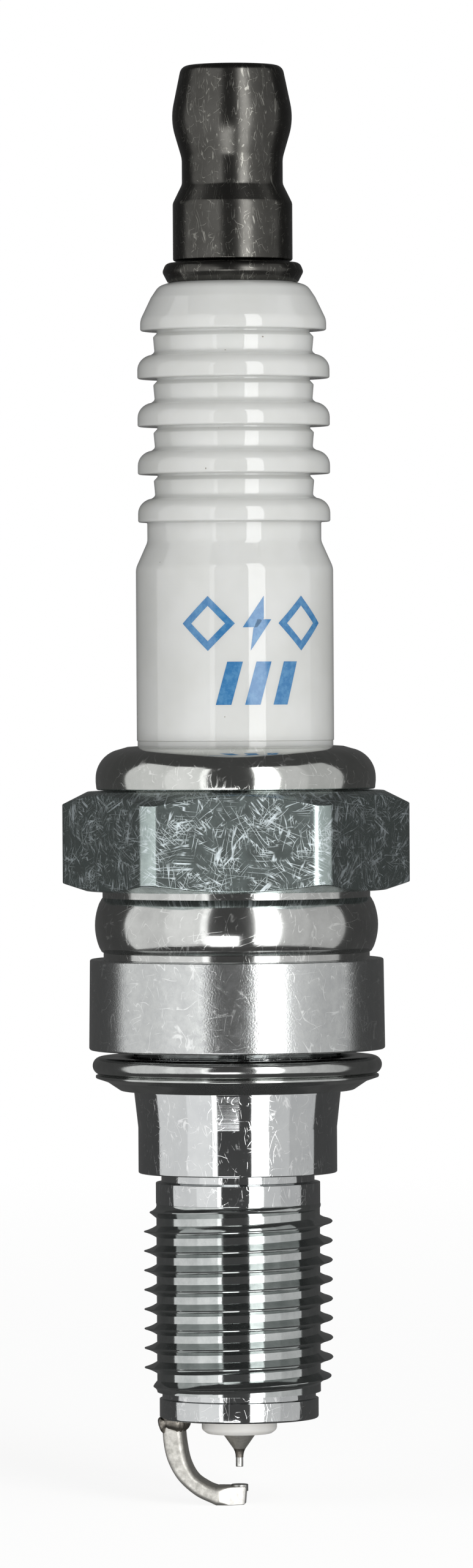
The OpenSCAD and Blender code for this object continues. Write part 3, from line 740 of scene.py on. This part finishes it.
def makeShell(spec):
    top, low = spec["hexTop"], spec["hexLow"]
    crimpCentre = spec["crimp"] - 1.5
    crimpArc = [(crimpCentre + 1.5 * math.cos(math.radians(a)), 13.99 + 1.5 * math.sin(math.radians(a)))
                for a in range(78, -1, -6)]
    upper = roundCorners([
        (spec["upperBore"], 2.91), (spec["upperBore"], spec["lipLow"]), (spec["lipBore"], spec["lipLow"]),
        (spec["lipBore"], spec["crimpTop"], 0.12),
        (spec["lipBore"] + 0.45, spec["crimpTop"] - 0.03),
    ]) + crimpArc + roundCorners([
        (spec["crimp"], 13.8), (spec["crimp"] - 0.04, spec["crimpLow"], 0.1),
        (spec["crimpNeck"], spec["crimpLow"], 0.04),
        (spec["crimpNeck"], top, 0.04), (spec["crimpNeck"] + 0.3, top),
    ])
    bulge = [(6.96 + 0.34 * math.sin(math.pi * step / 12) ** 0.75, 7.76 - 2.7 * step / 12)
             for step in range(13)]
    lower = [(7.2, low), (6.9, low), (6.9, 7.84)] + bulge + roundCorners([
        (6.86, 5.0), (6.86, 4.9, 0.05), (6.86, spec["collarTop"], 0.04),
        (spec["collar"] - 0.06, spec["collarTop"], 0.1),
        (spec["collar"], 0.0, 0.12), (spec["neckRoot"] + 0.1, 0.0, 0.1), (spec["neckRoot"], -0.3, 0.1),
        (spec["neckRoot"], -2.2, 0.3), (spec["neck"], -4.0, 0.8), (spec["neck"], -6.35, 0.08),
        (spec["relief"], -6.37, 0.06),
        (spec["relief"], -6.78, 0.03), (4.24, -6.84, 0.05), (4.24, -7.93, 0.03), (spec["core"], -7.94),
        (spec["core"], -17.6), (3.96, -17.62, 0.05), (3.96, -17.95, 0.05), (spec["pilot"], -17.97, 0.04),
        (spec["pilot"], -19.0, 0.12), (spec["noseBore"], -19.0, 0.08), (spec["noseBore"], -12.0, 0.03),
        (spec["lowerBore"], -11.77, 0.05), (spec["lowerBore"], 1.0, 0.3), (spec["upperBore"], 2.9),
    ])

    def sectionAt(angle):
        reachOut = hexRadius(spec, angle)
        hexagon = roundCorners([
            (7.3, top), (spec["chamferStart"], top, 0.05),
            (reachOut, top - (reachOut - spec["chamferStart"]) * 0.5, 0.08),
            (reachOut, low + (reachOut - 7.75) * 0.33, 0.08),
            (7.75, low, 0.05), (7.5, low),
        ])
        return upper + hexagon + lower[:-1]

    finishes = [crimpedZinc, drawnZinc, turnedZinc, tumbledZinc, neckZinc]
    shell = lathe("metal_shell_turned", sectionAt, 360, finishes)
    # lowest height of each finish, in the same order
    zones = [(top + 0.03, 0), (low - 0.05, 1), (spec["collarTop"] + 0.03, 2), (0.02, 3), (-30.0, 4)]
    for face in shell.data.polygons:
        height = (face.center.z - seat) / mm
        face.material_index = next(slot for bottom, slot in zones if height > bottom)
    thread = threadSleeve("metal_shell_thread", spec["thread"], rolledZinc)
    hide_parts("metal_shell")
    for piece in (shell, thread):
        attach(piece, "plug")


makeShell(shellSpec)
print("shell made")

# Captive gasket: a flattened tube of sheet on a dished skirt
gasketSpec = {"outer": 7.46, "bore": 5.45, "top": -0.35, "fold": 0.92, "low": -2.1}


def makeGasket(spec):
    half = spec["fold"] / 2
    middle = spec["top"] - half
    outerCentre, innerCentre = spec["outer"] - half, spec["bore"] + 0.3 + half
    roll = [(outerCentre + half * math.cos(math.radians(a)), middle + half * math.sin(math.radians(a)))
            for a in range(-78, 91, 12)]
    inside = [(innerCentre + half * math.cos(math.radians(a)), middle + half * math.sin(math.radians(a)))
              for a in range(90, 241, 12)]
    section = roundCorners([
        (spec["bore"], spec["low"], 0.05), (spec["bore"] + 0.56, spec["low"], 0.25), (6.7, -1.64, 0.5),
        (7.3, -1.44, 0.06), (7.3, -1.3, 0.05), (7.06, -1.28, 0.02),
        *roll, *inside, (spec["bore"], spec["low"] + 0.36, 0.05),
    ], closed=True)
    gasket = lathe("gasket_folded", lambda angle: section, 192, [sheetSteel])
    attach(gasket, "washer")
    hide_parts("gasket")
    return gasket


makeGasket(gasketSpec)
print("gasket made")

# Centre electrode: nickel body and cone, the weld bead, and the fine wire
tipSpec = {"body": 0.95, "cone": 0.88, "coneRadius": 0.315, "wire": 0.19,
           "noseTip": -19.8, "coneEnd": -20.6, "weldEnd": -21.05, "tipEnd": -21.53}


def makeCentreElectrode(spec):
    body = roundCorners([
        (0.0, spec["coneEnd"]), (spec["coneRadius"], spec["coneEnd"], 0.02),
        (spec["cone"], spec["noseTip"], 0.03),
        (spec["body"], spec["noseTip"] + 0.12, 0.03), (spec["body"], 1.5),
        (1.45, 1.5, 0.05), (1.45, 2.7, 0.1),
        (1.15, 3.0, 0.1), (0.55, 3.0), (0.55, -18.5), (0.0, -18.5),
    ])
    electrode = lathe("center_electrode_turned", lambda angle: body, 96, [satinNickel], closed=False)
    bead = [(0.0, spec["coneEnd"])]
    for step in range(9):
        share = step / 8
        neck = spec["wire"] + 0.01 + (spec["coneRadius"] - spec["wire"] - 0.01) * (1 - share) ** 2.2
        bead.append((neck, spec["coneEnd"] + (spec["weldEnd"] - spec["coneEnd"]) * share))
    bead.append((0.0, spec["weldEnd"]))
    weld = lathe("tip_weld_bead", lambda angle: bead, 64, [weldedNickel], closed=False)
    wireSection = roundCorners([
        (0.0, spec["weldEnd"]), (spec["wire"], spec["weldEnd"]), (spec["wire"], spec["tipEnd"], 0.03),
        (0.0, spec["tipEnd"]),
    ])
    wire = lathe("fine_wire_ground", lambda angle: wireSection, 64, [groundNobleMetal], closed=False)
    for piece, node, slot in ((electrode, "center_electrode", "nickel_alloy"),
                              (weld, "tip_weld", "weld_metal"),
                              (wire, "fine_wire_tip", "noble_metal")):
        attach(piece, "plug")
        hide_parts(node)


makeCentreElectrode(tipSpec)

# Ground electrode: a drawn strip, bent under the tip and sheared to a narrow end
strapSpec = {
    "turn": -6.0, "width": 2.3, "endWidth": 0.95, "edge": 0.3, "armEnd": 0.36, "taper": 1.5, "armTop": -22.53,
    "inner": [(2.87, -18.9), (2.86, -19.4), (2.8, -20.2), (2.6, -21.2), (2.2, -21.95), (1.6, -22.37)],
    "outer": [(3.9, -18.9), (3.9, -19.4), (3.82, -20.4), (3.58, -21.3), (3.05, -22.2), (2.2, -22.95)],
    "armThickness": 0.93,
}


def smoothPath(points, steps):
    # Catmull-Rom curve through the points
    path = []
    for index in range(len(points) - 1):
        before = Vector(points[max(index - 1, 0)])
        start, end = Vector(points[index]), Vector(points[index + 1])
        after = Vector(points[min(index + 2, len(points) - 1)])
        for step in range(steps):
            t = step / steps
            square = 2 * before - 5 * start + 4 * end - after
            cube = 3 * start - before - 3 * end + after
            path.append(0.5 * (2 * start + (end - before) * t + square * t ** 2 + cube * t ** 3))
    return path + [Vector(points[-1])]


def strapRing(inner, outer, width, edge, shrink=0.0):
    # One rounded section, from the inner to the outer face; distances from the axis run to the left
    across = outer - inner
    thickness = across.length
    along = across / thickness
    ring = []
    halfWidth = width / 2 - shrink
    near, far, side = shrink + edge, thickness - shrink - edge, halfWidth - edge
    corners = ((far, side, 0), (near, side, 90), (near, -side, 180), (far, -side, 270))
    for out, side, start in corners:
        for step in range(6):
            angle = math.radians(start + 90 * step / 5)
            point = inner + along * (out + edge * math.cos(angle))
            ring.append((-point.x * mm, (side + edge * math.sin(angle)) * mm, seat + point.y * mm))
    return ring


def makeGroundElectrode(spec):
    thickness = spec["armThickness"]
    taperStart = spec["taper"] - spec["armEnd"]
    armInner = [(x, spec["armTop"]) for x in (1.2, taperStart)]
    armOuter = [(1.35, spec["armTop"] - 0.83), (taperStart, spec["armTop"] - thickness)]
    innerPath = smoothPath(spec["inner"] + armInner, 6)
    outerPath = smoothPath(spec["outer"] + armOuter, 6)
    rings = [strapRing(inner, outer, spec["width"], spec["edge"])
             for inner, outer in zip(innerPath, outerPath)]
    for step in range(15):
        share = step / 14
        x = taperStart - (spec["taper"] - 0.05) * share
        wide = spec["width"] + 0.2
        width = min(spec["width"], wide + (spec["endWidth"] - wide) * share)
        edge = max(0.04, spec["edge"] - 0.5 * (spec["width"] - width))
        inner = Vector((x, spec["armTop"]))
        outer = Vector((x + 0.05 * share, spec["armTop"] - thickness))
        rings.append(strapRing(inner, outer, width, edge))
    x = -spec["armEnd"]
    rings.append(strapRing(Vector((x, spec["armTop"])), Vector((x + 0.07, spec["armTop"] - thickness)),
                           spec["endWidth"], 0.03, 0.04))
    count = len(rings[0])
    faces = []
    for index in range(len(rings) - 1):
        this, following = index * count, (index + 1) * count
        for side in range(count):
            beside = (side + 1) % count
            faces.append((this + side, this + beside, following + beside, following + side))
    faces.append(tuple(range(count)))
    faces.append(tuple(range((len(rings) - 1) * count, len(rings) * count)))
    strap = meshPiece("ground_electrode_bent", [point for ring in rings for point in ring], faces)
    finishMesh(strap, [satinNickel, cutNickel])
    for face in strap.data.polygons:
        cutSide = face.center.x > (0.25 - taperStart) * mm and abs(face.normal.z) < 0.4
        face.material_index = 1 if cutSide else 0
    turnAround(strap, spec["turn"])
    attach(strap, "plug")
    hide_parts("ground_electrode")


def turnAround(obj, degrees):
    # Turns the mesh itself around the axis
    cosine, sine = math.cos(math.radians(degrees)), math.sin(math.radians(degrees))
    for vert in obj.data.vertices:
        x, y = vert.co.x, vert.co.y
        vert.co.x, vert.co.y = x * cosine - y * sine, x * sine + y * cosine


makeGroundElectrode(strapSpec)
armTop = strapSpec["armTop"]

# Pad under the tip: a flat disc, sunk into the strip and standing a little proud
padSpec = {"radius": 0.44, "sunk": 0.25, "proud": 0.1}


def makePad(spec):
    section = roundCorners([
        (0.0, armTop + spec["proud"]), (spec["radius"], armTop + spec["proud"], 0.04),
        (spec["radius"], armTop - spec["sunk"]), (0.0, armTop - spec["sunk"]),
    ])
    pad = lathe("ground_pad_disc", lambda angle: section, 64, [groundNobleMetal], closed=False)
    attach(pad, "plug")
    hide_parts("ground_pad")


makePad(padSpec)

# Weld flash: molten metal squeezed out around the strip, frozen in lumps
flashSpec = {"stand": 0.3, "drop": 0.5, "rise": 0.24, "lump": 0.34, "around": 96, "across": 10}


def makeWeldFlash(spec):
    (inner, _), (outer, _) = strapSpec["inner"][0], strapSpec["outer"][0]
    thickness, width = outer - inner, strapSpec["width"]
    centreX = -(inner + outer) / 2
    verts = []
    for step in range(spec["around"]):
        angle = 2 * math.pi * step / spec["around"]
        cosine, sine = math.cos(angle), math.sin(angle)
        power = 0.35
        x = (thickness / 2 - 0.03) * math.copysign(abs(cosine) ** power, cosine)
        y = (width / 2 - 0.03) * math.copysign(abs(sine) ** power, sine)
        outward = Vector((cosine, sine)).normalized()
        lumps = 1 + spec["lump"] * (math.sin(5 * angle + 0.7) * 0.6 + math.sin(9 * angle + 2.1) * 0.4)
        for row in range(spec["across"]):
            slope = math.pi * row / (spec["across"] - 1)
            outside = spec["stand"] * lumps * math.sin(slope)
            height = spec["drop"] * lumps if row > spec["across"] / 2 else spec["rise"]
            lift = height * math.cos(slope) - 0.1
            point = Vector((centreX + x + outward.x * outside, y + outward.y * outside))
            if lift > -0.02 and point.length < 4.12:
                lift = -0.02
            verts.append((point.x * mm, point.y * mm, seat + (-reach + lift) * mm))
    faces = []
    rows = spec["across"]
    for step in range(spec["around"]):
        this, following = step * rows, (step + 1) % spec["around"] * rows
        for row in range(rows):
            above = (row + 1) % rows
            faces.append((this + row, following + row, following + above, this + above))
    flash = meshPiece("ground_weld_flash", verts, faces)
    finishMesh(flash, [weldedNickel], 60)
    turnAround(flash, strapSpec["turn"])
    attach(flash, "plug")
    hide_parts("ground_weld")


makeWeldFlash(flashSpec)
print("electrodes made")

# Sealed pieces keep their CAD shape and get their own finish
sealedFinish = {
    "upper_glass_seal": sealGlass, "lower_glass_seal": sealGlass, "resistor": firedResistor,
    "electrode_core": drawnCopper, "lower_packing": sheetSteel,
    "lower_ring": sheetSteel, "upper_ring": sheetSteel, "talc_packing": pressedTalc,
}
for nodeName, finish in sealedFinish.items():
    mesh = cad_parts[nodeName].data
    mesh.materials.clear()
    mesh.materials.append(finish)
print("sealed pieces finished")

# Floor, world and lights
floorSpec = {"radius": 0.30, "colour": "#777776", "glow": 0.87, "edgeStart": 0.03}


def makeFloor(spec):
    low = min(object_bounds()[0].z, cadLow.z)
    work = bmesh.new()
    bmesh.ops.create_circle(work, cap_ends=True, radius=spec["radius"], segments=96)
    mesh = bpy.data.meshes.new("floor")
    work.to_mesh(mesh)
    work.free()
    floor = bpy.data.objects.new("floor", mesh)
    floor.location.z = low
    bpy.context.scene.collection.objects.link(floor)
    # white painted board, lit from behind so that it fades into the background
    material = bpy.data.materials.new("paintedBoard")
    material.use_nodes = True
    tree = material.node_tree
    tree.nodes.clear()
    board = addNode(tree, "ShaderNodeBsdfDiffuse", {"Color": hexColour(spec["colour"]), "Roughness": 0.5})
    seen = addNode(tree, "ShaderNodeLightPath").outputs["Is Camera Ray"]
    glow = addNode(tree, "ShaderNodeEmission", {
        "Color": (1, 1, 1, 1), "Strength": combine(tree, "MULTIPLY", seen, spec["glow"])})
    both = addNode(tree, "ShaderNodeAddShader", {0: board.outputs["BSDF"], 1: glow.outputs["Emission"]})
    clear = addNode(tree, "ShaderNodeBsdfTransparent")
    place = addNode(tree, "ShaderNodeTexCoord").outputs["Object"]
    distance = addNode(tree, "ShaderNodeVectorMath", {0: place}, operation="LENGTH").outputs["Value"]
    edge = ramp(tree, distance, 0.0, 1.0, spec["edgeStart"], spec["radius"] * 0.95)
    mix = addNode(tree, "ShaderNodeMixShader", {0: edge, 1: both.outputs["Shader"], 2: clear.outputs["BSDF"]})
    output = addNode(tree, "ShaderNodeOutputMaterial")
    tree.links.new(mix.outputs["Shader"], output.inputs["Surface"])
    mesh.materials.append(material)
    # only the camera sees the board: the shiny pieces reflect the soft boxes below its level too
    floor.visible_glossy = False
    floor.visible_diffuse = False
    floor.visible_shadow = False
    floor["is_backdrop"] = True


worldSpec = {"background": "#FFFFFF", "surround": 0.08}


def makeWorld(spec):
    # A white background for the picture, and a dim room for the reflections
    world = bpy.data.worlds.new("studio")
    bpy.context.scene.world = world
    world.use_nodes = True
    tree = world.node_tree
    tree.nodes.clear()
    colour = hexColour(spec["background"])
    white = addNode(tree, "ShaderNodeBackground", {"Color": colour, "Strength": 1.0}).outputs["Background"]
    dim = addNode(tree, "ShaderNodeBackground", {"Color": colour, "Strength": spec["surround"]})
    seen = addNode(tree, "ShaderNodeLightPath").outputs["Is Camera Ray"]
    mix = addNode(tree, "ShaderNodeMixShader", {0: seen, 1: dim.outputs["Background"], 2: white})
    output = addNode(tree, "ShaderNodeOutputWorld")
    tree.links.new(mix.outputs["Shader"], output.inputs["Surface"])


# Each soft box stands upright and is given by what it covers, seen from the gasket face: azimuths from
# the front towards +X and elevations, in degrees. Brightness is against the white background.
softBoxes = {
    "key": {"left": 16, "right": 36, "low": -32, "high": 46, "distance": 430, "brightness": 3.7},
    "frontCard": {"left": -23, "right": 1.5, "low": -34, "high": -16, "distance": 430, "brightness": 3.6},
    "edgeStrip": {"left": -29.6, "right": -23.5, "low": -32, "high": 40, "distance": 430, "brightness": 1.5},
    "leftNear": {"left": -60, "right": -30, "low": -32, "high": 46, "distance": 430, "brightness": 0.84},
    "leftFar": {"left": -103, "right": -60, "low": -32, "high": 46, "distance": 430, "brightness": 0.68},
    "rightNear": {"left": 36.5, "right": 62, "low": -32, "high": 46, "distance": 430, "brightness": 0.58},
    "rightFar": {"left": 62, "right": 99, "low": -32, "high": 46, "distance": 430, "brightness": 0.46},
}


def makeSoftBox(name, spec):
    data = bpy.data.lights.new(name, "AREA")
    data.shape = "RECTANGLE"
    distance = spec["distance"] * mm
    half = math.radians((spec["right"] - spec["left"]) / 2)
    reachOut = distance * math.cos(half)
    low, high = (reachOut * math.tan(math.radians(spec[end])) for end in ("low", "high"))
    data.size = 2 * distance * math.sin(half)
    data.size_y = high - low
    data.energy = spec["brightness"] * data.size * data.size_y * 4
    light = bpy.data.objects.new(name, data)
    angle = math.radians((spec["right"] + spec["left"]) / 2)
    outward = Vector((math.sin(angle), -math.cos(angle), 0.0))
    light.location = outward * reachOut + Vector((0.0, 0.0, seat + (low + high) / 2))
    light.rotation_mode = "QUATERNION"
    light.rotation_quaternion = outward.to_track_quat("Z", "Y")
    light.visible_camera = False
    bpy.context.scene.collection.objects.link(light)


makeFloor(floorSpec)
makeWorld(worldSpec)
for boxName, boxSpec in softBoxes.items():
    makeSoftBox(boxName, boxSpec)
bpy.context.scene.view_settings.view_transform = "Standard"
print("studio made")
